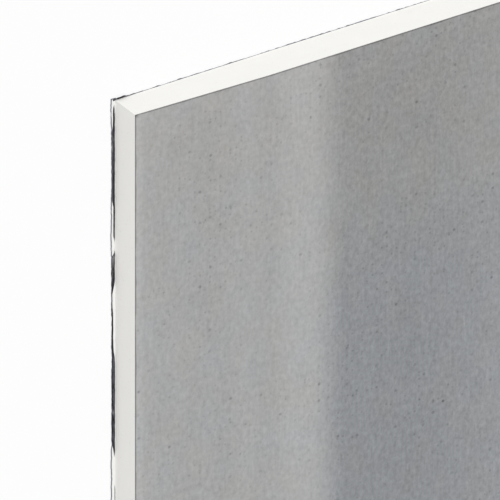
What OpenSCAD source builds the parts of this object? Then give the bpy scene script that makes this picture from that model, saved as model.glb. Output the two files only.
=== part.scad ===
// Foil-backed drywall sheet, lying flat with its face up.
// A gypsum core is cast between a grey face paper and a foil-faced back liner. The face slopes down to both
// long edges, so that a taped joint can be filled flush. On the right the face paper is folded round the edge
// and lapped under it, and the back liner covers the lap. The left edge and both ends are sawn square, so the
// white core shows there between the two liners.
// X runs across the sheet towards the bound edge, Y along its length and Z up through the face.
// The origin is at the centre of the underside.

/* [Sheet] */
// Width across the long edges
sheet_w = 1200; // [300:1:1250]
// Length
sheet_l = 2400; // [600:1:3600]
// Thickness over both liners, between the tapers
sheet_t = 12.5; // [9.5:0.5:19]

/* [Long edges] */
// Width of each taper, which takes the joint compound
taper_w = 45; // [40:1:80]
// Depth of the taper at the edge
taper_d = 1.5; // [0.6:0.1:2.5]
// Outside radius of the two corners that the paper is folded round on the bound edge
edge_r = 1.5; // [1:0.1:2.5]

/* [Liners] */
// Thickness of the face paper
paper_t = 0.35; // [0.2:0.05:0.6]
// Width of the face paper's lap under the bound edge
lap_w = 25; // [15:1:40]
// Thickness of the back liner with its metal foil
foil_t = 0.3; // [0.15:0.05:0.6]
// Distance from the bound edge to the back liner's own edge
foil_setback = 10; // [5:1:14]

/* [Hidden] */
$fn = 64;

cut_x = -sheet_w / 2;
bound_x = sheet_w / 2;
taper_angle = atan(taper_d / taper_w);
taper_normal = [sin(taper_angle), cos(taper_angle)];

// Centres of the two round corners of the bound edge, the lower one and the one at the taper's foot.
corner_x = bound_x - edge_r;
lower_corner = [corner_x, foil_t + edge_r];
upper_corner = [corner_x, sheet_t - tan(taper_angle) * (taper_w - edge_r) - edge_r / cos(taper_angle)];

// Section of the sheet as far as the paper's outer surface, or a given depth inside it.
// The sawn edge on the left isn't wrapped, so the depth counts only at the face, bound edge and back.
module wrapped_section(depth) {
    corner_r = edge_r - depth;
    flat_margin = taper_w + depth * tan(taper_angle / 2);
    polygon([
        [cut_x, foil_t + depth],
        [corner_x, foil_t + depth],
        [bound_x - depth, lower_corner[1]],
        [bound_x - depth, upper_corner[1]],
        upper_corner + corner_r * taper_normal,
        [bound_x - flat_margin, sheet_t - depth],
        [cut_x + flat_margin, sheet_t - depth],
        [cut_x, sheet_t - taper_d - depth / cos(taper_angle)]
    ]);
    for (corner = [lower_corner, upper_corner])
        translate(corner) circle(r = corner_r);
}

// Section of the core: inside the paper, and down to the back liner where the paper isn't lapped under it.
module core_section() {
    wrapped_section(paper_t);
    translate([cut_x, foil_t])
        square([sheet_w - lap_w, sheet_t / 2]);
}

// A section, drawn with its height along Y, run along the length of the sheet.
module along_sheet() {
    rotate([90, 0, 0])
        linear_extrude(height = sheet_l, center = true)
            children();
}

module gypsum_core() {
    color("whitesmoke")
        along_sheet() core_section();
}

module face_paper() {
    color("darkgray")
        along_sheet()
            difference() {
                wrapped_section(0);
                core_section();
            }
}

module foil_backing() {
    color("slategray")
        translate([cut_x, -sheet_l / 2, 0])
            cube([sheet_w - foil_setback, sheet_l, foil_t]);
}

gypsum_core();
face_paper();
foil_backing();
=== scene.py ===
# %% [markdown]
# # A foil-backed drywall sheet
#
# A drywall sheet is gypsum plaster cast between two liners. Here the face liner is grey recycled paper,
# folded round one long edge, and the back liner carries a metallised film that keeps vapour out of the
# wall. The CAD model already holds the three layers at their real size, so this lesson dresses them:
# paper, plaster and film. We load that model first and keep its box, because the looks may not outgrow it.

# %% Load the CAD frame
import math

import bpy
from mathutils import Matrix, Vector


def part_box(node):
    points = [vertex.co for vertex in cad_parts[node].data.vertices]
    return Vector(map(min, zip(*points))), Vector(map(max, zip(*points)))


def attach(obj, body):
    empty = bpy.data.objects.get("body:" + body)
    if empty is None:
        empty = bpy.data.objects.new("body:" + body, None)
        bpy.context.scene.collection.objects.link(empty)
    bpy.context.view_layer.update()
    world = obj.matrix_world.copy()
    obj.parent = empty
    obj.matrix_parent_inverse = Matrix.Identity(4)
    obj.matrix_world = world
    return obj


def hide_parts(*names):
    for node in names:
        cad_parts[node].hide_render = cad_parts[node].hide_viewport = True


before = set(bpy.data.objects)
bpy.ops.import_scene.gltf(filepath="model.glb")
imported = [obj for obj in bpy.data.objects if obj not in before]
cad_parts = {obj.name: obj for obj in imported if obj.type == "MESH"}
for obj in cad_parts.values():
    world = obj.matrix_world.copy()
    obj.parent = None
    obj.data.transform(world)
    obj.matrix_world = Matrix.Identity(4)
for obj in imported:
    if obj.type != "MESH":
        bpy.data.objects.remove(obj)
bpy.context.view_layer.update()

print("CAD nodes:", sorted(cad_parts))

# %% [markdown]
# ## Where the edges are
#
# Everything that follows is placed from the edges of the sheet, so they are read from the CAD nodes once.
# X runs across the sheet, from the sawn long edge to the bound one, Y along it and Z up through the face.
# The face slopes down to both long edges, so the sheet is thinner at the sawn edge than in the middle. The
# highest point of the paper on that edge says how thin.

# %% Read the edges of the sheet
MM = 0.001
AT_EDGE = 0.01 * MM

paper_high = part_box("face_paper")[1]
film_low, film_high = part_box("foil_backing")
SAWN_X, BOUND_X = film_low.x, paper_high.x
UPPER_Y, LOWER_Y = film_high.y, film_low.y

paper_points = [point.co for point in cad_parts["face_paper"].data.vertices]
SAWN_TOP = max(point.z for point in paper_points if point.x < SAWN_X + AT_EDGE)
edge_thickness = SAWN_TOP - film_low.z
print(f"sheet {BOUND_X - SAWN_X:.3f} x {UPPER_Y - LOWER_Y:.3f} x {paper_high.z:.4f} m")
print(f"{edge_thickness / MM:.2f} mm thick at the sawn edge")

# %% [markdown]
# ## The camera
#
# The sheet lies flat, and the photograph looks at one corner of it with the long edge upright in the
# picture. A camera that looks down on the flat sheet and is rolled sees just that. Its angles follow from
# three measures in the picture: how far the back corner lies to the left of the face's corner, how far
# above it, and how steeply the upper end rises to the right. The photograph shows next to no perspective,
# so the lens is very long and the camera stands far off. The little perspective that is left would lean
# the long edge, and a roll of a fraction of a degree takes that out.

# %% Work out the camera's angles
PICTURE_PX = 500
FACE_CORNER_PX = (135.6, 115.45)
BACK_CORNER_PX = (114.45, 99.55)
END_RISE = 0.326

back_left = FACE_CORNER_PX[0] - BACK_CORNER_PX[0]
back_up = FACE_CORNER_PX[1] - BACK_CORNER_PX[1]
tilt = math.asin(math.sqrt(END_RISE * back_up / back_left))
turn = math.atan(END_RISE / math.sin(tilt))
px_per_m = back_left / (edge_thickness * math.sin(turn))
print(f"turn {math.degrees(turn):.2f}, tilt {math.degrees(tilt):.2f}, {px_per_m * MM:.3f} px a mm")

# %% Aim the camera at the corner
LENS_MM = 1600
DISTANCES_SEEN = 10

camera_data = bpy.data.cameras.new("corner_camera")
camera_data.lens = LENS_MM
distance = LENS_MM / camera_data.sensor_width * PICTURE_PX / px_per_m
camera_data.clip_end = DISTANCES_SEEN * distance

right = Vector((math.cos(turn), 0, math.sin(turn)))
up = Vector((math.sin(turn) * math.sin(tilt), math.cos(tilt), -math.cos(turn) * math.sin(tilt)))
toward = right.cross(up)
aside = (PICTURE_PX / 2 - FACE_CORNER_PX[0]) / px_per_m
above = (PICTURE_PX / 2 - FACE_CORNER_PX[1]) / px_per_m
roll = Matrix.Rotation(aside / distance * math.tan(tilt), 3, toward)
right, up = roll @ right, roll @ up
aim = Vector((SAWN_X, UPPER_Y, SAWN_TOP)) + right * aside - up * above

camera = bpy.data.objects.new("corner_camera", camera_data)
axes = Matrix((right, up, toward)).transposed().to_4x4()
camera.matrix_world = Matrix.Translation(aim + toward * distance) @ axes
bpy.context.scene.collection.objects.link(camera)
bpy.context.scene.camera = camera
print(f"camera {distance:.2f} m from the sheet")

# %% [markdown]
# ## Building node trees from code
#
# Materials and Geometry Nodes are both trees of nodes. A few small helpers keep the code that builds them
# short: one adds a node and fills or links its inputs, and the others add the sums that every tree needs
# and hand back their result.

# %% Helpers for node trees
def add(tree, kind, inputs=None, **settings):
    """Adds a node with these settings. An input is a value, or the output of another node to link."""
    made = tree.nodes.new(kind)
    for name, value in settings.items():
        setattr(made, name, value)
    for key, value in (inputs or {}).items():
        if isinstance(value, bpy.types.NodeSocket):
            tree.links.new(value, made.inputs[key])
        else:
            made.inputs[key].default_value = value
    return made


def calc(tree, operation, *values):
    """The result of a Math node."""
    return add(tree, "ShaderNodeMath", dict(enumerate(values)), operation=operation).outputs[0]


def ease(tree, value, start, end, low=0.0, high=1.0):
    """Goes from low to high as value goes from start to end, with a soft start and stop."""
    inputs = {"Value": value, "From Min": start, "From Max": end, "To Min": low, "To Max": high}
    return add(tree, "ShaderNodeMapRange", inputs, interpolation_type="SMOOTHSTEP").outputs["Result"]


def sum_of(tree, *parts):
    """The sum of (amount, pattern) pairs."""
    total = 0.0
    for amount, pattern in parts:
        total = calc(tree, "MULTIPLY_ADD", pattern, amount, total)
    return total


def between(tree, share, first, second):
    """The first number where share is 0, and the second where it is 1."""
    return calc(tree, "MULTIPLY_ADD", calc(tree, "SUBTRACT", second, first), share, first)


# %% [markdown]
# ## Floor and light
#
# A product shot on white wants a pale floor and light from everywhere. The world lights the sheet evenly,
# and a broad sun from beyond the upper end makes that end the brightest face and the sawn long edge a
# little darker than it. The floor and the world show as plain white to the camera and in reflections, but
# the floor keeps a share of its real shading, so the sheet still casts a soft shadow.

# %% Make the world and the sun
WORLD_LIGHT = 0.75
SUN_LIGHT = Vector((-0.05, 0.241, 0.24))
SUN_SOFTNESS = math.radians(25)
WHITE = (1, 1, 1, 1)


def seen_directly(tree):
    """1 for rays from the camera, or that a mirror or glass passes on, and 0 for rays that carry light."""
    path = add(tree, "ShaderNodeLightPath").outputs
    mirrored = calc(tree, "MAXIMUM", path["Is Glossy Ray"], path["Is Transmission Ray"])
    return calc(tree, "MAXIMUM", path["Is Camera Ray"], mirrored)


world = bpy.data.worlds.new("white_studio")
world.use_nodes = True
tree = world.node_tree
tree.nodes.clear()
strength = between(tree, seen_directly(tree), WORLD_LIGHT, 1.0)
background = add(tree, "ShaderNodeBackground", {"Color": WHITE, "Strength": strength})
add(tree, "ShaderNodeOutputWorld", {"Surface": background.outputs[0]})
bpy.context.scene.world = world
bpy.context.scene.view_settings.view_transform = "Standard"

sun_data = bpy.data.lights.new("soft_sun", "SUN")
sun_data.energy = math.pi * SUN_LIGHT.length
sun_data.angle = SUN_SOFTNESS
sun = bpy.data.objects.new("soft_sun", sun_data)
sun.rotation_euler = SUN_LIGHT.to_track_quat("Z", "Y").to_euler()
bpy.context.scene.collection.objects.link(sun)
print(f"sun at {math.degrees(math.asin(SUN_LIGHT.normalized().z)):.0f} degrees above the floor")

# %% Lay the floor
FLOOR_SIZE = 16
FLOOR_GAP = 0.05 * MM
FLOOR_SHADE = 0.15
FLOOR_WHITE = (0.9, 0.9, 0.9, 1)

floor_paint = bpy.data.materials.new("white_floor")
floor_paint.use_nodes = True
tree = floor_paint.node_tree
tree.nodes.clear()
shaded = add(tree, "ShaderNodeBsdfDiffuse", {"Color": FLOOR_WHITE})
plain = add(tree, "ShaderNodeEmission", {"Color": WHITE, "Strength": 1.0})
share = calc(tree, "MULTIPLY", seen_directly(tree), 1 - FLOOR_SHADE)
mixed = add(tree, "ShaderNodeMixShader", {0: share, 1: shaded.outputs[0], 2: plain.outputs[0]})
add(tree, "ShaderNodeOutputMaterial", {"Surface": mixed.outputs[0]})

half = FLOOR_SIZE / 2
floor_z = film_low.z - FLOOR_GAP
corner_sides = ((-1, -1), (1, -1), (1, 1), (-1, 1))
floor_corners = [(side_x * half, side_y * half, floor_z) for side_x, side_y in corner_sides]
floor_mesh = bpy.data.meshes.new("floor")
floor_mesh.from_pydata(floor_corners, [], [(0, 1, 2, 3)])
floor_mesh.materials.append(floor_paint)
floor = bpy.data.objects.new("floor", floor_mesh)
bpy.context.scene.collection.objects.link(floor)
print(f"floor {FLOOR_SIZE} m wide at z = {floor_z:.5f}")

# %% [markdown]
# ## Patterns in millimetres
#
# Paper, plaster and film all vary at the scale of a millimetre, so their patterns read the Object
# coordinates turned into millimetres. A stretched noise makes fibres or streaks, and a Voronoi pattern
# makes specks: each cell holds one dot, and the cell's own random number says how strong that dot is.

# %% Helpers for materials
def new_material(name):
    """An empty material: the material, its tree and its Principled shader, linked to the output."""
    material = bpy.data.materials.new(name)
    material.use_nodes = True
    tree = material.node_tree
    tree.nodes.clear()
    shader = add(tree, "ShaderNodeBsdfPrincipled")
    add(tree, "ShaderNodeOutputMaterial", {"Surface": shader.outputs[0]})
    return material, tree, shader


def tinted(tree, colour, tone):
    """A colour times a tone that varies over the surface."""
    return add(tree, "ShaderNodeVectorMath", {0: colour, "Scale": tone}, operation="SCALE").outputs[0]


def blended(tree, share, first, second):
    """The first colour where share is 0, the second where it is 1. The node's colours are inputs 6 and 7."""
    return add(tree, "ShaderNodeMix", {0: share, 6: first, 7: second}, data_type="RGBA").outputs[2]


def raise_surface(tree, shader, height, depth):
    """Bumps the shader's surface by this depth in metres for a height of 1."""
    bump = add(tree, "ShaderNodeBump", {"Height": height, "Strength": 1.0, "Distance": depth})
    tree.links.new(bump.outputs[0], shader.inputs["Normal"])


def repaint(node, material):
    """Gives a CAD node another material."""
    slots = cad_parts[node].data.materials
    slots.clear()
    slots.append(material)


# %% Helpers for patterns
# The share of a dot's radius that has its full strength.
DOT_HEART = 0.3


def millimetres(tree):
    """The place on the object in millimetres, as one vector and as x, y and z."""
    place = add(tree, "ShaderNodeTexCoord").outputs["Object"]
    scaled = add(tree, "ShaderNodeVectorMath", {0: place, "Scale": 1 / MM}, operation="SCALE").outputs[0]
    return scaled, add(tree, "ShaderNodeSeparateXYZ", {0: scaled}).outputs


def grain(tree, place, per_mm, detail=2.0, roughness=0.5):
    """Noise from about -0.5 to 0.5, with its own count of waves a millimetre along x, y and z."""
    stretched = add(tree, "ShaderNodeVectorMath", {0: place, 1: per_mm}, operation="MULTIPLY").outputs[0]
    inputs = {"Vector": stretched, "Scale": 1.0, "Detail": detail, "Roughness": roughness}
    return calc(tree, "SUBTRACT", add(tree, "ShaderNodeTexNoise", inputs).outputs[0], 0.5)


def specks(tree, place, cells_per_mm, radius_mm, rarity, dimensions="2D"):
    """Dots of up to 1 on 0, one in each cell. The higher the rarity, the fewer of them are strong."""
    inputs = {"Vector": place, "Scale": cells_per_mm, "Randomness": 1.0}
    cell = add(tree, "ShaderNodeTexVoronoi", inputs, voronoi_dimensions=dimensions)
    edge = radius_mm * cells_per_mm
    dot = ease(tree, cell.outputs["Distance"], DOT_HEART * edge, edge, 1.0, 0.0)
    pick = add(tree, "ShaderNodeSeparateColor", {0: cell.outputs["Color"]}).outputs[0]
    return calc(tree, "MULTIPLY", dot, calc(tree, "POWER", pick, rarity))


# %% [markdown]
# ## Face paper
#
# The face liner is pulped waste paper: mid grey, with a fine mottle of warm and cool fibres, faint streaks
# along the machine's direction, which is the sheet's length, and specks of ink that gather in some places.
# The rolls leave broad bands of lighter and darker tone that run the whole length. One deep dark band, from
# about 59 to 180 mm off the sawn long edge and deeper away from the ends, is painted shade, as if the face
# sloped away from the light there, and it turns the grey a little cooler. Towards the sawn ends the paper is
# a little paler and yellower, and the saw packs and darkens its very edge. A picture of paper would blur or
# repeat on a sheet this long, so noise draws all of it. The CAD node has the right shape and only gets this
# material. The patterns are laid out on the paper as if it were unrolled from the bound edge, so they go
# round that edge with the paper.

# %% Lay out the paper's patterns
FEWEST_SPECKS, MOST_SPECKS = 0.30, 1.45

paper, tree, shader = new_material("grey_board_paper")
place, (x, y, z) = millimetres(tree)
unrolled_x = calc(tree, "SUBTRACT", x, z)
sheet_place = add(tree, "ShaderNodeCombineXYZ", {0: unrolled_x, 1: y}).outputs[0]

mottle = grain(tree, sheet_place, (0.75, 0.50, 1), detail=3.0, roughness=0.65)
clouds = grain(tree, sheet_place, (0.13, 0.08, 1))
streaks = grain(tree, sheet_place, (1.3, 0.10, 1))
drift = grain(tree, sheet_place, (0.015, 0.008, 1))
hue = grain(tree, sheet_place, (0.10, 0.07, 1), detail=1.0)

gathering = grain(tree, sheet_place, (0.040, 0.028, 1))
scatter = ease(tree, gathering, -0.15, 0.15, FEWEST_SPECKS, MOST_SPECKS)
ink = specks(tree, sheet_place, cells_per_mm=0.30, radius_mm=0.70, rarity=10.0)
ink = calc(tree, "MULTIPLY", ink, scatter)
flecks = specks(tree, sheet_place, cells_per_mm=0.60, radius_mm=0.50, rarity=3.5)
flecks = calc(tree, "MULTIPLY", flecks, scatter)
print(f"face paper patterns: {len(tree.nodes)} nodes")

# %% Run the bands of tone along the paper
# Each pair is where a change starts and ends, in mm: the first two from the sawn long edge, and the others
# from the nearer end of the sheet.
# The first two pairs bound the band of painted shade, and the third deepens it away from the ends.
SHADE_BEGINS, SHADE_ENDS = (59, 72.5), (90, 180)
SHADE_DEEPENS = (45, 95)
PALE_END = (14, 2)
FIRST_TONE = 1.145
# Each band: its start and end in mm from the sawn long edge, and how much the tone changes across it.
# Two of these bands, from 59 to 180 mm, make the painted shade. The others are the paper's own tone.
TONE_BANDS = [
    (0.8, 3.3, -0.11), (3, 10, -0.035), (14, 21, -0.02), (29, 35, 0.035), (37, 43, -0.025), (44, 54, 0.085),
    (*SHADE_BEGINS, -0.295), (*SHADE_ENDS, 0.20), (260, 330, -0.07), (390, 480, 0.12), (540, 640, -0.10),
    (720, 760, 0.06), (830, 930, -0.09), (1010, 1060, 0.10),
]

from_sawn = calc(tree, "SUBTRACT", x, SAWN_X / MM)
from_end = calc(tree, "SUBTRACT", UPPER_Y / MM, calc(tree, "ABSOLUTE", y))
tone = FIRST_TONE
for start, end, change in TONE_BANDS:
    tone = calc(tree, "ADD", ease(tree, from_sawn, start, end, 0.0, change), tone)
# Painted shade: a dark band along the length, deeper away from the ends.
past_start = ease(tree, from_sawn, *SHADE_BEGINS)
before_end = ease(tree, from_sawn, *SHADE_ENDS, 1.0, 0.0)
painted_shade_band = calc(tree, "MULTIPLY", past_start, before_end)
deeper_painted_shade = calc(tree, "MULTIPLY", painted_shade_band, ease(tree, from_end, *SHADE_DEEPENS))
pale_end = ease(tree, from_end, *PALE_END)
tone = sum_of(
    tree, (1.0, tone), (-0.05, deeper_painted_shade), (0.54, mottle), (0.13, clouds), (0.16, streaks), (0.08, drift),
    (-0.27, ink), (-0.16, flecks), (0.035, pale_end),
)
print(f"face paper: {len(TONE_BANDS)} tone bands, {len(tree.nodes)} nodes")

# %% Darken the paper where it is sawn
CUT_TONE, BRUISE_TONE = 0.55, 0.6
CUT_BORDER, BRUISE_BORDER = (0.05, 0.40), (0.3, 1.3)
CUT_UNEVENNESS = 0.7

near_cut = calc(tree, "MINIMUM", from_sawn, from_end)
cut_line = grain(tree, sheet_place, (0.15, 0.15, 1))
near_cut = sum_of(tree, (1.0, near_cut), (CUT_UNEVENNESS, cut_line))
tone = calc(tree, "MULTIPLY", tone, ease(tree, near_cut, *CUT_BORDER, CUT_TONE, 1.0))
from_corner = calc(tree, "MAXIMUM", from_sawn, from_end)
tone = calc(tree, "MULTIPLY", tone, ease(tree, from_corner, *BRUISE_BORDER, BRUISE_TONE, 1.0))
print(f"sawn edges darkened to {CUT_TONE} and the corners to {BRUISE_TONE} of that")

# %% Colour the face paper
PAPER_WARM = (0.390, 0.378, 0.356, 1)
PAPER_COOL = (0.362, 0.376, 0.396, 1)
COOL_SHARE = 0.52
YELLOW_END = (15, 75)
NAP_DEPTH = 0.02 * MM

yellowed = ease(tree, from_end, *YELLOW_END, 1.0, 0.0)
# The band of painted shade also turns the grey cooler.
coolness = sum_of(
    tree, (1.0, COOL_SHARE), (0.65, hue), (0.05, painted_shade_band), (0.40, deeper_painted_shade), (-0.12, yellowed)
)
grey = blended(tree, coolness, PAPER_WARM, PAPER_COOL)
tree.links.new(tinted(tree, grey, tone), shader.inputs["Base Color"])
shader.inputs["Roughness"].default_value = 0.88
shader.inputs["Specular IOR Level"].default_value = 0.25
fibres = grain(tree, sheet_place, (2.2, 0.5, 1), detail=3.0)
raise_surface(tree, shader, sum_of(tree, (0.6, fibres), (0.4, mottle)), NAP_DEPTH)
repaint("face_paper", paper)
print(f"face paper: {len(tree.nodes)} nodes")

# %% [markdown]
# ## Gypsum core
#
# The core is foamed plaster. Sawn, it is a chalky warm white with a faint cloudiness, pin-hole air bubbles
# and very slight saw marks across the thickness. The bubbles are painted darker, as painted shade in their
# pits. Close to the back liner the core is painted a little lighter, and more so on the sawn long edge:
# painted light against the shade that the dark torn strip casts there. Cutting the bubbles into the mesh
# would take many faces, and all of it is so shallow that bump shows it well enough.

# %% Paint the gypsum core
GYPSUM_WHITE = (0.864, 0.857, 0.829)
# Painted light: the core is lighter near the back liner, and more so on the sawn long edge.
PAINTED_LIGHT_HEIGHT, PAINTED_LIGHT_EDGE = (2.2, 0.3), (0.5, 0.1)
SAW_DEPTH = 0.02 * MM

gypsum, tree, shader = new_material("sawn_gypsum")
place, (x, y, z) = millimetres(tree)
chalk = grain(tree, place, (0.12, 0.12, 0.2), detail=3.0)
powder = grain(tree, place, (1.5, 1.5, 1.5))
bubbles = specks(tree, place, cells_per_mm=0.9, radius_mm=0.30, rarity=5.0, dimensions="3D")
painted_light_near_liner = ease(tree, z, *PAINTED_LIGHT_HEIGHT)
from_sawn = calc(tree, "SUBTRACT", x, SAWN_X / MM)
painted_light_long_edge = calc(tree, "MULTIPLY", painted_light_near_liner, ease(tree, from_sawn, *PAINTED_LIGHT_EDGE))
# The bubbles' darker tone is painted shade in their pits, and the two lighter terms are painted light.
tone = sum_of(
    tree, (1.0, 1.0), (0.035, chalk), (0.02, powder), (0.045, painted_light_near_liner), (0.045, painted_light_long_edge), (-0.10, bubbles)
)
tree.links.new(tinted(tree, GYPSUM_WHITE, tone), shader.inputs["Base Color"])
shader.inputs["Roughness"].default_value = 0.95
shader.inputs["Specular IOR Level"].default_value = 0.2
saw_marks = grain(tree, place, (1.2, 1.2, 0.08), detail=1.0)
raise_surface(tree, shader, sum_of(tree, (0.5, saw_marks), (0.5, powder), (-1.0, bubbles)), SAW_DEPTH)
repaint("gypsum_core", gypsum)
print(f"gypsum core: {len(tree.nodes)} nodes")

# %% [markdown]
# ## Metallised film, the finish
#
# The film on the back is thin plastic with a coat of metal: dark silver with a blue cast, creased into
# small facets. A smooth Voronoi pattern gives the facets, and noise that is drawn out along the sheet gives
# the creases between them. Both bump the surface, and their tones in the colour are painted reflection and
# shade, as if each facet caught the light differently.

# %% Paint the film on the back
FILM_SILVER = (0.52, 0.52, 0.56)
CREASE_DEPTH = 0.4 * MM

film, tree, shader = new_material("metallised_film")
place, (x, y, z) = millimetres(tree)
facets = add(
    tree, "ShaderNodeTexVoronoi", {"Vector": place, "Scale": 0.07, "Smoothness": 0.6}, feature="SMOOTH_F1"
)
facet_tone = add(tree, "ShaderNodeSeparateColor", {0: facets.outputs["Color"]}).outputs[0]
crease = grain(tree, place, (0.09, 0.04, 0.09), detail=5.0, roughness=0.65)
pull = grain(tree, place, (0.02, 0.003, 0.02), detail=3.0)
# The facet and crease terms in this tone are painted reflection and shade.
back_tone = sum_of(tree, (1.0, 0.92), (0.16, facet_tone), (0.45, crease), (0.5, pull))
back_colour = tinted(tree, FILM_SILVER, back_tone)
raise_surface(tree, shader, sum_of(tree, (1.0, crease), (0.5, facet_tone)), CREASE_DEPTH)
print(f"film on the back: {len(tree.nodes)} nodes")

# %% [markdown]
# At a sawn edge the liner is torn into a narrow strip. Lying open, it shows the white paper that was glued
# to the plaster. Where it is folded over, the film shows as a dark fold. That dark colour is a painted
# reflection of dark surroundings, black along its borders as painted shade and dull blue inside, with
# painted sheen and highlights. A strip is too long and fine to be painted by hand, so the strips that we
# grow later carry attributes that tell this finish where it is, in millimetres: how far from the root and
# the rim, and from where to where the fold goes. Two more tell where the fold gets painted highlights and
# where the strip curls up and is painted in shade.

# %% Find the fold on a torn strip
FOLD_SOFTNESS = 0.07


def carried(tree, name):
    """The value of an attribute that a strip carries, or 0 on a piece without it."""
    return add(tree, "ShaderNodeAttribute", attribute_name=name).outputs["Fac"]


drawn_out = grain(tree, place, (1.4, 0.09, 1.4), detail=3.0, roughness=0.7)
ragged = grain(tree, place, (0.6, 0.35, 0.6))
where = sum_of(tree, (1.0, carried(tree, "from_root")), (0.25, drawn_out), (0.25, ragged))
past_start = calc(tree, "SUBTRACT", where, carried(tree, "fold_from"))
before_end = calc(tree, "SUBTRACT", carried(tree, "fold_to"), where)
inside = calc(tree, "MINIMUM", past_start, before_end)
folded = ease(tree, inside, -FOLD_SOFTNESS, FOLD_SOFTNESS)
print(f"film with its fold: {len(tree.nodes)} nodes")

# %% Colour the fold with painted reflection, sheen, highlights and shade
# Black is painted shade at the fold's borders. Dusk and grey are a painted reflection of dark surroundings,
# with a painted sheen between them.
FILM_BLACK = (0.028, 0.028, 0.032, 1)
FILM_DUSK = (0.13, 0.13, 0.16, 1)
FILM_GREY = (0.36, 0.36, 0.38, 1)
SHADED_BORDER, HIGHLIGHT_HALF = (0.12, 0.45), (0.55, 0.85)
CRUMPLE_LEFT = 0.25

painted_shine = carried(tree, "painted_shine")
curl_shade = carried(tree, "curl_shade")
# Crumple noise paints light and shade on the fold, as if it were crumpled.
crumple = grain(tree, place, (1.5, 0.45, 1.5), detail=3.0, roughness=0.6)
patches = grain(tree, place, (0.05, 0.05, 0.05), detail=1.0)
painted_sheen = ease(tree, sum_of(tree, (1.0, crumple), (1.5, patches)), 0.0, 0.25)
painted_reflection = blended(tree, painted_sheen, FILM_DUSK, FILM_GREY)
# Painted light on the fold, kept off its borders of painted shade.
fold_painted_light = calc(tree, "MULTIPLY", ease(tree, inside, *SHADED_BORDER), ease(tree, crumple, -0.20, 0.05))
# Where the painted shine is strong, less crumple light is painted.
smoothed = calc(tree, "ABSOLUTE", painted_shine)
fold_painted_light = calc(tree, "MULTIPLY", fold_painted_light, ease(tree, smoothed, 0.0, 1.0, 1.0, CRUMPLE_LEFT))
# Painted highlight on the fold's outer half.
painted_highlight = calc(tree, "MULTIPLY", ease(tree, where, *HIGHLIGHT_HALF), painted_shine)
fold_painted_light = calc(tree, "MAXIMUM", fold_painted_light, painted_highlight)
# Painted shade on the curled body of a corner tuft.
fold_painted_light = calc(tree, "MULTIPLY", fold_painted_light, calc(tree, "SUBTRACT", 1.0, curl_shade))
fold_colour = blended(tree, fold_painted_light, FILM_BLACK, painted_reflection)
print(f"film with its coloured fold: {len(tree.nodes)} nodes")

# %% [markdown]
# The open strip is white paper with a dark line along its torn rim, where the film peeps round it. On the
# sawn long edge the liner's own cut face is white paper too, and is told from the film by its place.

# %% Colour the open paper and join it to the film
LINER_WHITE = (0.90, 0.90, 0.89, 1)
RIM_BORDER, CUT_FACE = (0.48, 0.24), (0.02, 0.005)
FAINTEST_RIM = 0.6
FILM_ROUGHNESS, LINER_ROUGHNESS = 0.32, 0.8

rim_line = ease(tree, carried(tree, "from_rim"), *RIM_BORDER)
rim_line = calc(tree, "MULTIPLY", rim_line, ease(tree, ragged, -0.25, 0.0, FAINTEST_RIM, 1.0))
strip_colour = blended(tree, rim_line, LINER_WHITE, FILM_DUSK)
strip_colour = blended(tree, folded, strip_colour, fold_colour)
at_cut = ease(tree, calc(tree, "SUBTRACT", x, SAWN_X / MM), *CUT_FACE)
liner_colour = blended(tree, at_cut, back_colour, LINER_WHITE)
on_strip = carried(tree, "lip")
colour = blended(tree, on_strip, liner_colour, strip_colour)
tree.links.new(colour, shader.inputs["Base Color"])
bare_paper = between(tree, on_strip, at_cut, calc(tree, "SUBTRACT", 1.0, folded))
tree.links.new(calc(tree, "SUBTRACT", 1.0, bare_paper), shader.inputs["Metallic"])
roughness = between(tree, bare_paper, FILM_ROUGHNESS, LINER_ROUGHNESS)
tree.links.new(roughness, shader.inputs["Roughness"])
print(f"film with its torn strips: {len(tree.nodes)} nodes")

# %% [markdown]
# ## Helpers for Geometry Nodes
#
# A Geometry Nodes tree is a recipe with named inputs, so one recipe can grow several pieces. Each input is
# set on the modifier by its identifier. The grown result is then copied into a plain mesh, and the
# modifier goes, so the finished piece is an ordinary object with its place in its mesh.

# %% Begin and end a tree
FLOAT, WHOLE, VECTOR = "NodeSocketFloat", "NodeSocketInt", "NodeSocketVector"
SAME_POINT = 0.001 * MM


def new_tree(name, inputs):
    """A Geometry Nodes tree with these named inputs, and the sockets that give their values."""
    tree = bpy.data.node_groups.new(name, "GeometryNodeTree")
    tree.interface.new_socket("Geometry", in_out="INPUT", socket_type="NodeSocketGeometry")
    for input_name, kind in inputs.items():
        tree.interface.new_socket(input_name, in_out="INPUT", socket_type=kind)
    tree.interface.new_socket("Geometry", in_out="OUTPUT", socket_type="NodeSocketGeometry")
    return tree, add(tree, "NodeGroupInput").outputs


def closed_up(tree, first, second):
    """Joins two open meshes that share a border into one closed mesh."""
    both = add(tree, "GeometryNodeJoinGeometry")
    tree.links.new(first, both.inputs[0])
    tree.links.new(second, both.inputs[0])
    inputs = {"Geometry": both.outputs[0], "Distance": SAME_POINT}
    return add(tree, "GeometryNodeMergeByDistance", inputs).outputs[0]


def finish_tree(tree, mesh, material):
    """Ends a tree: smooth shading, real geometry and the material."""
    smooth = add(tree, "GeometryNodeSetShadeSmooth", {"Geometry": mesh}).outputs[0]
    real = add(tree, "GeometryNodeRealizeInstances", {"Geometry": smooth}).outputs[0]
    painted = add(tree, "GeometryNodeSetMaterial", {"Geometry": real, "Material": material}).outputs[0]
    add(tree, "NodeGroupOutput", {"Geometry": painted})


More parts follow.
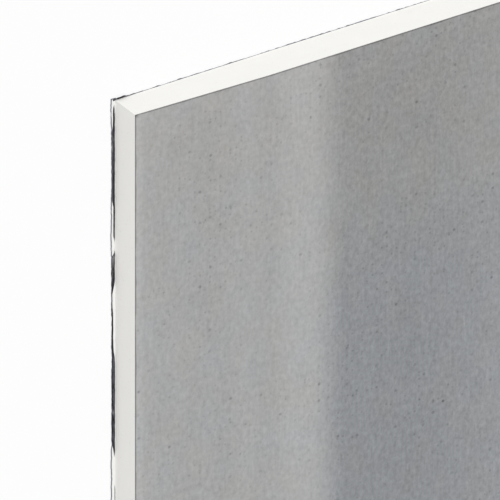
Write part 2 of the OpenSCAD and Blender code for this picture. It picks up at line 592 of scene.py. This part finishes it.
# %% Grow a plain mesh from a tree
def grow(name, tree, values):
    """Runs a tree with these input values and returns the result as a plain mesh object."""
    seed_mesh = bpy.data.meshes.new(name + "_seed")
    piece = bpy.data.objects.new(name, seed_mesh)
    bpy.context.scene.collection.objects.link(piece)
    modifier = piece.modifiers.new("grow", "NODES")
    modifier.node_group = tree
    sockets = [item for item in tree.interface.items_tree if item.in_out == "INPUT"]
    identifiers = {item.name: item.identifier for item in sockets}
    for input_name, value in values.items():
        modifier[identifiers[input_name]] = value
    graph = bpy.context.evaluated_depsgraph_get()
    grown = bpy.data.meshes.new_from_object(
        piece.evaluated_get(graph), preserve_all_data_layers=True, depsgraph=graph
    )
    piece.modifiers.remove(modifier)
    piece.data = grown
    grown.name = name
    bpy.data.meshes.remove(seed_mesh)
    triangles = sum(len(face.vertices) - 2 for face in grown.polygons)
    print(f"{name}: {len(grown.vertices)} points, {triangles} triangles")
    return piece


# %% [markdown]
# ## Film on the back
#
# Seen from below, the film covers the whole back up to a bare margin along the bound edge. It is never
# quite flat: it has shrunk on its liner into a shallow, random crinkle. A grid pushed up by noise follows
# that rule, so Geometry Nodes make it. The crinkle only rises into the sheet, so that the lowest creases
# still lie on the floor, and the grid is then extruded up to the flat top of the liner, which closes it.

# %% Crinkle a grid
CRINKLE_STARTS, CRINKLE_FULL = 0.35, 0.75

tree, size = new_tree("crinkled_back", {
    "Width": FLOAT, "Length": FLOAT, "Thickness": FLOAT, "Columns": WHOLE, "Rows": WHOLE,
    "Crinkles per Metre": FLOAT, "Crinkle Depth": FLOAT, "Seed": WHOLE, "Middle": VECTOR,
})
flat = add(tree, "GeometryNodeMeshGrid", {
    "Size X": size["Width"], "Size Y": size["Length"],
    "Vertices X": size["Columns"], "Vertices Y": size["Rows"],
}).outputs["Mesh"]
facing_down = add(tree, "GeometryNodeFlipFaces", {"Mesh": flat}).outputs[0]

spot = add(tree, "GeometryNodeInputPosition").outputs[0]
waves = add(tree, "ShaderNodeVectorMath", {0: spot, "Scale": size["Crinkles per Metre"]}, operation="SCALE")
crinkle = add(tree, "ShaderNodeTexNoise", {
    "Vector": waves.outputs[0], "W": size["Seed"], "Scale": 1.0, "Detail": 3.0, "Distortion": 0.6,
}, noise_dimensions="4D").outputs[0]
rise = calc(tree, "MULTIPLY", ease(tree, crinkle, CRINKLE_STARTS, CRINKLE_FULL), size["Crinkle Depth"])
offset = add(tree, "ShaderNodeCombineXYZ", {2: rise}).outputs[0]
crinkled = add(tree, "GeometryNodeSetPosition", {"Geometry": facing_down, "Offset": offset}).outputs[0]
print(f"crinkled grid: {len(tree.nodes)} nodes")

# %% Close the crinkled grid with a flat top
upward = calc(tree, "MULTIPLY", size["Thickness"], -1.0)
raised = add(tree, "GeometryNodeExtrudeMesh", {
    "Mesh": crinkled, "Offset Scale": upward, "Individual": False,
})
axis = add(tree, "ShaderNodeSeparateXYZ", {0: spot}).outputs
level = add(tree, "ShaderNodeCombineXYZ", {0: axis[0], 1: axis[1], 2: size["Thickness"]}).outputs[0]
levelled = add(tree, "GeometryNodeSetPosition", {
    "Geometry": raised.outputs["Mesh"], "Selection": raised.outputs["Top"], "Position": level,
}).outputs[0]
liner_top = add(tree, "GeometryNodeFlipFaces", {"Mesh": levelled}).outputs[0]
closed = closed_up(tree, crinkled, liner_top)
placed = add(tree, "GeometryNodeTransform", {"Geometry": closed, "Translation": size["Middle"]}).outputs[0]
finish_tree(tree, placed, film)
print(f"crinkled back: {len(tree.nodes)} nodes")

# %% Grow the film on the back
BACK_SPACING = 10 * MM

film_size = film_high - film_low
film_middle = (film_low + film_high) / 2
back = grow("foil_film", tree, {
    "Width": film_size.x, "Length": film_size.y, "Thickness": film_size.z,
    "Columns": round(film_size.x / BACK_SPACING), "Rows": round(film_size.y / BACK_SPACING),
    "Crinkles per Metre": 18.0, "Crinkle Depth": 0.15 * MM, "Seed": 5,
    "Middle": (film_middle.x, film_middle.y, film_low.z),
})

# %% [markdown]
# ## Torn liner along the sawn edges
#
# The saw cuts plaster cleanly but drags the back liner, which is left as a ragged strip of a millimetre or
# two that sticks out and droops to the floor. Part of it is folded over, and that fold widens, narrows and
# breaks off along the edge. A strip could be modelled by hand, but it is as long as the sheet. So a flat
# grid, one side along the edge and the other across the strip, is bent by a formula whose reach changes
# along the edge. Near the corner the fold's two borders are drawn as curves, and further on noise
# takes over.

# %% Draw the fold near the corner
# Each point: mm along the strip from its tip, the fold's inner and outer border in mm from the root, and
# its painted shine: 0 is painted crumple light and shade, 1 is dark with a painted highlight on its outer
# half and -1 is all dark.
FOLD_POINTS = [
    (0, 0.5, 0.3, -0.8), (2, 0.4, 0.4, -0.8), (4.5, 0.15, 0.7, -0.8), (9, 0.1, 0.75, -0.4),
    (13, 0.1, 1.1, 0.8), (20, 0.1, 1.1, 0.8), (31, 0.1, 1.15, 0.9), (36, 0.1, 0.7, 0.9),
    (45, 0.1, 0.6, 0.9), (49, 0.3, 0.25, 0.3), (52, 0.1, 1.0, 0), (56, 0.1, 1.4, -0.7),
    (60, 0.1, 1.4, -0.8), (66, 1.0, 1.25, -1), (72, 0.65, 1.25, -0.8), (80, 0.65, 1.2, -0.6),
    (89, 0.1, 1.2, -0.1), (112, 0.1, 1.2, 0.1),
]
DRAWN_END = FOLD_POINTS[-1][0] * MM


def through(tree, place, points):
    """A smooth line through (place, value) points. Its Float Curve holds places and values of 0 to 1."""
    length = points[-1][0]
    values = [value for spot, value in points]
    lowest, span = min(values), max(values) - min(values)
    curve = add(tree, "ShaderNodeFloatCurve", {"Value": calc(tree, "DIVIDE", place, length)})
    line = curve.mapping.curves[0]
    line.points[0].location = (0, (values[0] - lowest) / span)
    line.points[-1].location = (1, (values[-1] - lowest) / span)
    for spot, value in points[1:-1]:
        line.points.new(spot / length, (value - lowest) / span)
    for point in line.points:
        point.handle_type = "AUTO_CLAMPED"
    curve.mapping.update()
    return calc(tree, "MULTIPLY_ADD", curve.outputs[0], span, lowest)


print(f"the fold is drawn for {DRAWN_END / MM:.0f} mm, through {len(FOLD_POINTS)} points")

# %% Lay the strip out flat
STRIP_POINTS = 7

tree, size = new_tree("torn_strip", {
    "Edge Length": FLOAT, "Points Along": WHOLE, "Reach": FLOAT, "Fraying": FLOAT, "Thickness": FLOAT,
    "Corner Side": FLOAT, "Corner Tuft": FLOAT, "Folded": FLOAT, "Seed": WHOLE, "Turn": FLOAT,
    "Middle": VECTOR,
})
grid = add(tree, "GeometryNodeMeshGrid", {
    "Size X": 1.0, "Size Y": size["Edge Length"],
    "Vertices X": STRIP_POINTS, "Vertices Y": size["Points Along"],
}).outputs["Mesh"]
spot = add(tree, "GeometryNodeInputPosition").outputs[0]
position = add(tree, "ShaderNodeSeparateXYZ", {0: spot}).outputs
across = calc(tree, "ADD", position[0], 0.5)
along = position[1]
half_length = calc(tree, "MULTIPLY", size["Edge Length"], 0.5)
from_tip = calc(tree, "MULTIPLY_ADD", along, size["Corner Side"], half_length)
print(f"flat strip: {STRIP_POINTS} points across, {len(tree.nodes)} nodes")

# %% Run the fold along the strip
LANE_STEP = 13.7
TAKEOVER = 8 * MM
ALL_OF_IT = 3.0


def wander(tree, along, seed, waves_per_m, track, detail=2.0):
    """Noise from about -0.5 to 0.5 along the strip. Another track, or another seed, gives other noise."""
    place = calc(tree, "MULTIPLY", along, waves_per_m)
    lane = calc(tree, "MULTIPLY_ADD", seed, LANE_STEP, track)
    vector = add(tree, "ShaderNodeCombineXYZ", {0: place, 1: lane}).outputs[0]
    inputs = {"Vector": vector, "Scale": 1.0, "Detail": detail}
    noise = add(tree, "ShaderNodeTexNoise", inputs, noise_dimensions="2D").outputs[0]
    return calc(tree, "SUBTRACT", noise, 0.5)


drawn_from = through(tree, from_tip, [(spot * MM, inner) for spot, inner, outer, painted_gleam in FOLD_POINTS])
drawn_to = through(tree, from_tip, [(spot * MM, outer) for spot, inner, outer, painted_gleam in FOLD_POINTS])
drawn_shine = through(tree, from_tip, [(spot * MM, painted_gleam) for spot, inner, outer, painted_gleam in FOLD_POINTS])
strip_seed = size["Seed"]
chance_from = ease(tree, wander(tree, along, strip_seed, waves_per_m=22.0, track=0.0), 0.05, 0.15, 0.1, 0.7)
chance_to = ease(tree, wander(tree, along, strip_seed, waves_per_m=28.0, track=1.5), -0.05, 0.08, 0.3, 1.25)
# Further on, noise sets the painted shine.
chance_shine = ease(tree, wander(tree, along, strip_seed, waves_per_m=18.0, track=4.5), -0.1, 0.1, -0.5, 1.0)
further_on = ease(tree, from_tip, DRAWN_END, DRAWN_END + TAKEOVER)
fold_from = between(tree, further_on, drawn_from, chance_from)
fold_to = between(tree, further_on, drawn_to, chance_to)
fold_shine = between(tree, further_on, drawn_shine, chance_shine)

fold_from = between(tree, size["Folded"], -ALL_OF_IT, fold_from)
fold_to = between(tree, size["Folded"], ALL_OF_IT, fold_to)
fold_shine = calc(tree, "MULTIPLY", fold_shine, size["Folded"])
print(f"strip with its fold: {len(tree.nodes)} nodes")

# %% [markdown]
# The strip's reach is what the saw left of it: the rim is frayed, a folded stretch is a little shorter,
# and an end strip has a tuft at the corner that stands out and curls up.

# %% Fray the strip
NARROWEST = 0.03 * MM
TUFT_START, TUFT_END, TUFT_FADE = 1.0 * MM, 5.6 * MM, 0.4 * MM
TAIL_START, TAIL_END = 6 * MM, 8 * MM
BODY_SHARE, TAIL_SHARE = 0.6, 0.3
TUFT_FRAYING = 0.4
FULL_TUFT = 0.5 * MM
WIDE_FOLD = (0.7, 1.1)
FOLD_TAKES = 0.22 * MM

coarse_fray = wander(tree, along, strip_seed, waves_per_m=170.0, track=3.0)
fine_fray = wander(tree, along, strip_seed, waves_per_m=620.0, track=6.0, detail=3.0)
fray = sum_of(tree, (1.0, coarse_fray), (1.0, fine_fray))
reach = calc(tree, "MULTIPLY", calc(tree, "MULTIPLY_ADD", fray, size["Fraying"], 1.0), size["Reach"])

tuft_begins = ease(tree, from_tip, TUFT_START - TUFT_FADE, TUFT_START + TUFT_FADE)
tuft_thins = ease(tree, from_tip, TUFT_START + TUFT_FADE, TUFT_END, 1.0, 0.0)
tuft_body = calc(tree, "MULTIPLY", tuft_begins, tuft_thins)
tuft_tail = ease(tree, from_tip, TAIL_START, TAIL_END, 1.0, 0.0)
tuft = sum_of(tree, (BODY_SHARE, tuft_body), (TAIL_SHARE, tuft_tail))
tuft = calc(tree, "MULTIPLY", tuft, size["Corner Tuft"])
tuft = calc(tree, "MULTIPLY", tuft, calc(tree, "MULTIPLY_ADD", fine_fray, TUFT_FRAYING, 1.0))
# How strongly a tuft's curled body is painted in shade.
tuft_shade = calc(tree, "MULTIPLY", ease(tree, size["Corner Tuft"], 0.0, FULL_TUFT), tuft_body)

taken = calc(tree, "MULTIPLY", ease(tree, fold_to, *WIDE_FOLD, 0.0, FOLD_TAKES), size["Folded"])
reach = calc(tree, "SUBTRACT", calc(tree, "ADD", reach, tuft), taken)
reach = calc(tree, "MAXIMUM", reach, NARROWEST)
print(f"frayed strip: {len(tree.nodes)} nodes")

# %% Bend the strip
ROOT_INSIDE = 0.2 * MM
ROOT_RISE, RIM_RISE = 0.18 * MM, 0.03 * MM
DROOP_STARTS = 0.1
RIPPLE = 0.15 * MM
TUFT_CURL = 0.8

outward = between(tree, across, -ROOT_INSIDE, reach)
droop = ease(tree, across, DROOP_STARTS, 1.0, ROOT_RISE, RIM_RISE)
ripples = wander(tree, along, strip_seed, waves_per_m=90.0, track=9.0)
lift = calc(tree, "MULTIPLY_ADD", ripples, RIPPLE, RIPPLE / 2)
lift = calc(tree, "MULTIPLY_ADD", tuft, TUFT_CURL, lift)
bent_x = calc(tree, "MULTIPLY", outward, -1.0)
bent_z = calc(tree, "MULTIPLY_ADD", lift, across, droop)
bent_place = add(tree, "ShaderNodeCombineXYZ", {0: bent_x, 1: along, 2: bent_z}).outputs[0]
print(f"bent strip: {len(tree.nodes)} nodes")

# %% Store what the finish needs, thicken the strip and put it in its place
from_root = calc(tree, "DIVIDE", outward, MM)
from_rim = calc(tree, "MINIMUM", calc(tree, "SUBTRACT", reach, outward), from_tip)
from_rim = calc(tree, "DIVIDE", from_rim, MM)
carried_values = {
    "lip": 1.0, "from_root": from_root, "from_rim": from_rim, "fold_from": fold_from, "fold_to": fold_to,
    "painted_shine": fold_shine, "curl_shade": tuft_shade,
}
mesh = grid
for attribute, value in carried_values.items():
    inputs = {"Geometry": mesh, "Name": attribute, "Value": value}
    mesh = add(tree, "GeometryNodeStoreNamedAttribute", inputs).outputs[0]
lower = add(tree, "GeometryNodeSetPosition", {"Geometry": mesh, "Position": bent_place}).outputs[0]

upward = calc(tree, "MULTIPLY", size["Thickness"], -1.0)
upper = add(tree, "GeometryNodeExtrudeMesh", {"Mesh": lower, "Offset Scale": upward, "Individual": False})
upper_facing_up = add(tree, "GeometryNodeFlipFaces", {"Mesh": upper.outputs["Mesh"]}).outputs[0]
closed = closed_up(tree, lower, upper_facing_up)
turn_by = add(tree, "ShaderNodeCombineXYZ", {2: size["Turn"]}).outputs[0]
placed = add(tree, "GeometryNodeTransform", {
    "Geometry": closed, "Translation": size["Middle"], "Rotation": turn_by,
}).outputs[0]
finish_tree(tree, placed, film)
print(f"torn strip: {len(tree.nodes)} nodes")

# %% [markdown]
# One tree now grows three strips. The long sawn edge has the wide, loose one, and the two ends have a
# narrow fringe with a tuft at the corner.

# %% Grow the torn strips
FILM_THICKNESS = 0.05 * MM
PAST_CORNER = 0.7 * MM

long_strip = grow("foil_lip_long_edge", tree, {
    "Edge Length": film_size.y + 2 * PAST_CORNER, "Points Along": 4500, "Reach": 1.48 * MM, "Fraying": 0.3,
    "Thickness": FILM_THICKNESS, "Corner Side": -1.0, "Corner Tuft": 0.0, "Folded": 1.0, "Seed": 3,
    "Turn": 0.0, "Middle": (SAWN_X, film_middle.y, film_low.z),
})
strips = [long_strip]
end_middle_x = (film_low.x + film_high.x - PAST_CORNER) / 2
for strip_name, edge_y, side, seed in (("upper", UPPER_Y, 1.0, 8), ("lower", LOWER_Y, -1.0, 11)):
    strips.append(grow(f"foil_lip_{strip_name}_end", tree, {
        "Edge Length": film_size.x + PAST_CORNER, "Points Along": 2600, "Reach": 0.15 * MM, "Fraying": 3.8,
        "Thickness": FILM_THICKNESS, "Corner Side": side, "Corner Tuft": 0.9 * MM, "Folded": 0.0,
        "Seed": seed, "Turn": -side * math.pi / 2, "Middle": (end_middle_x, edge_y, film_low.z),
    }))

# %% [markdown]
# ## Tie the pieces to the sheet
#
# Nothing on the sheet moves, so every new piece rides on its one body. The crinkled film stands for the
# flat layer of the CAD model.

# %% Hand the pieces over
for piece in (back, *strips):
    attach(piece, "root")
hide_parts("foil_backing")
